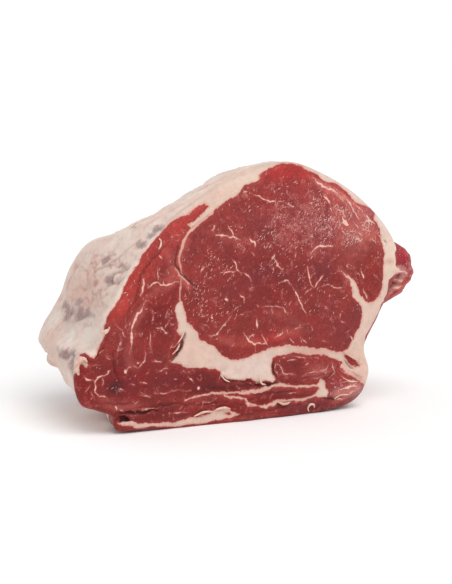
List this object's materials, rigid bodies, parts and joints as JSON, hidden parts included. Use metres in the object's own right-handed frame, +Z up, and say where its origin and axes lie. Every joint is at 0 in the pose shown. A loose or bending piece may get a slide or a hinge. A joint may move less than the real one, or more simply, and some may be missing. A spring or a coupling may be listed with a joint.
{
  "type": "raw beef rib roast",
  "caption": "Thick boneless piece of raw beef rib with a marbled loin eye, fat seams, a fat-covered flank and a thin layer of rib meat underneath.",
  "frame": {"origin": "on the surface the roast rests on, under the middle of its bounding box", "axes": "+X from the fat-covered flank to the trimmed backbone side, +Y from the thick front cut to the thinner back cut, +Z up"},
  "size_m": [0.216, 0.097, 0.1396],
  "materials": {
    "raw_beef": "moist raw meat with cream-coloured fat"
  },
  "bodies": {
    "root": {"roast": "raw_beef"}
  },
  "joints": []
}
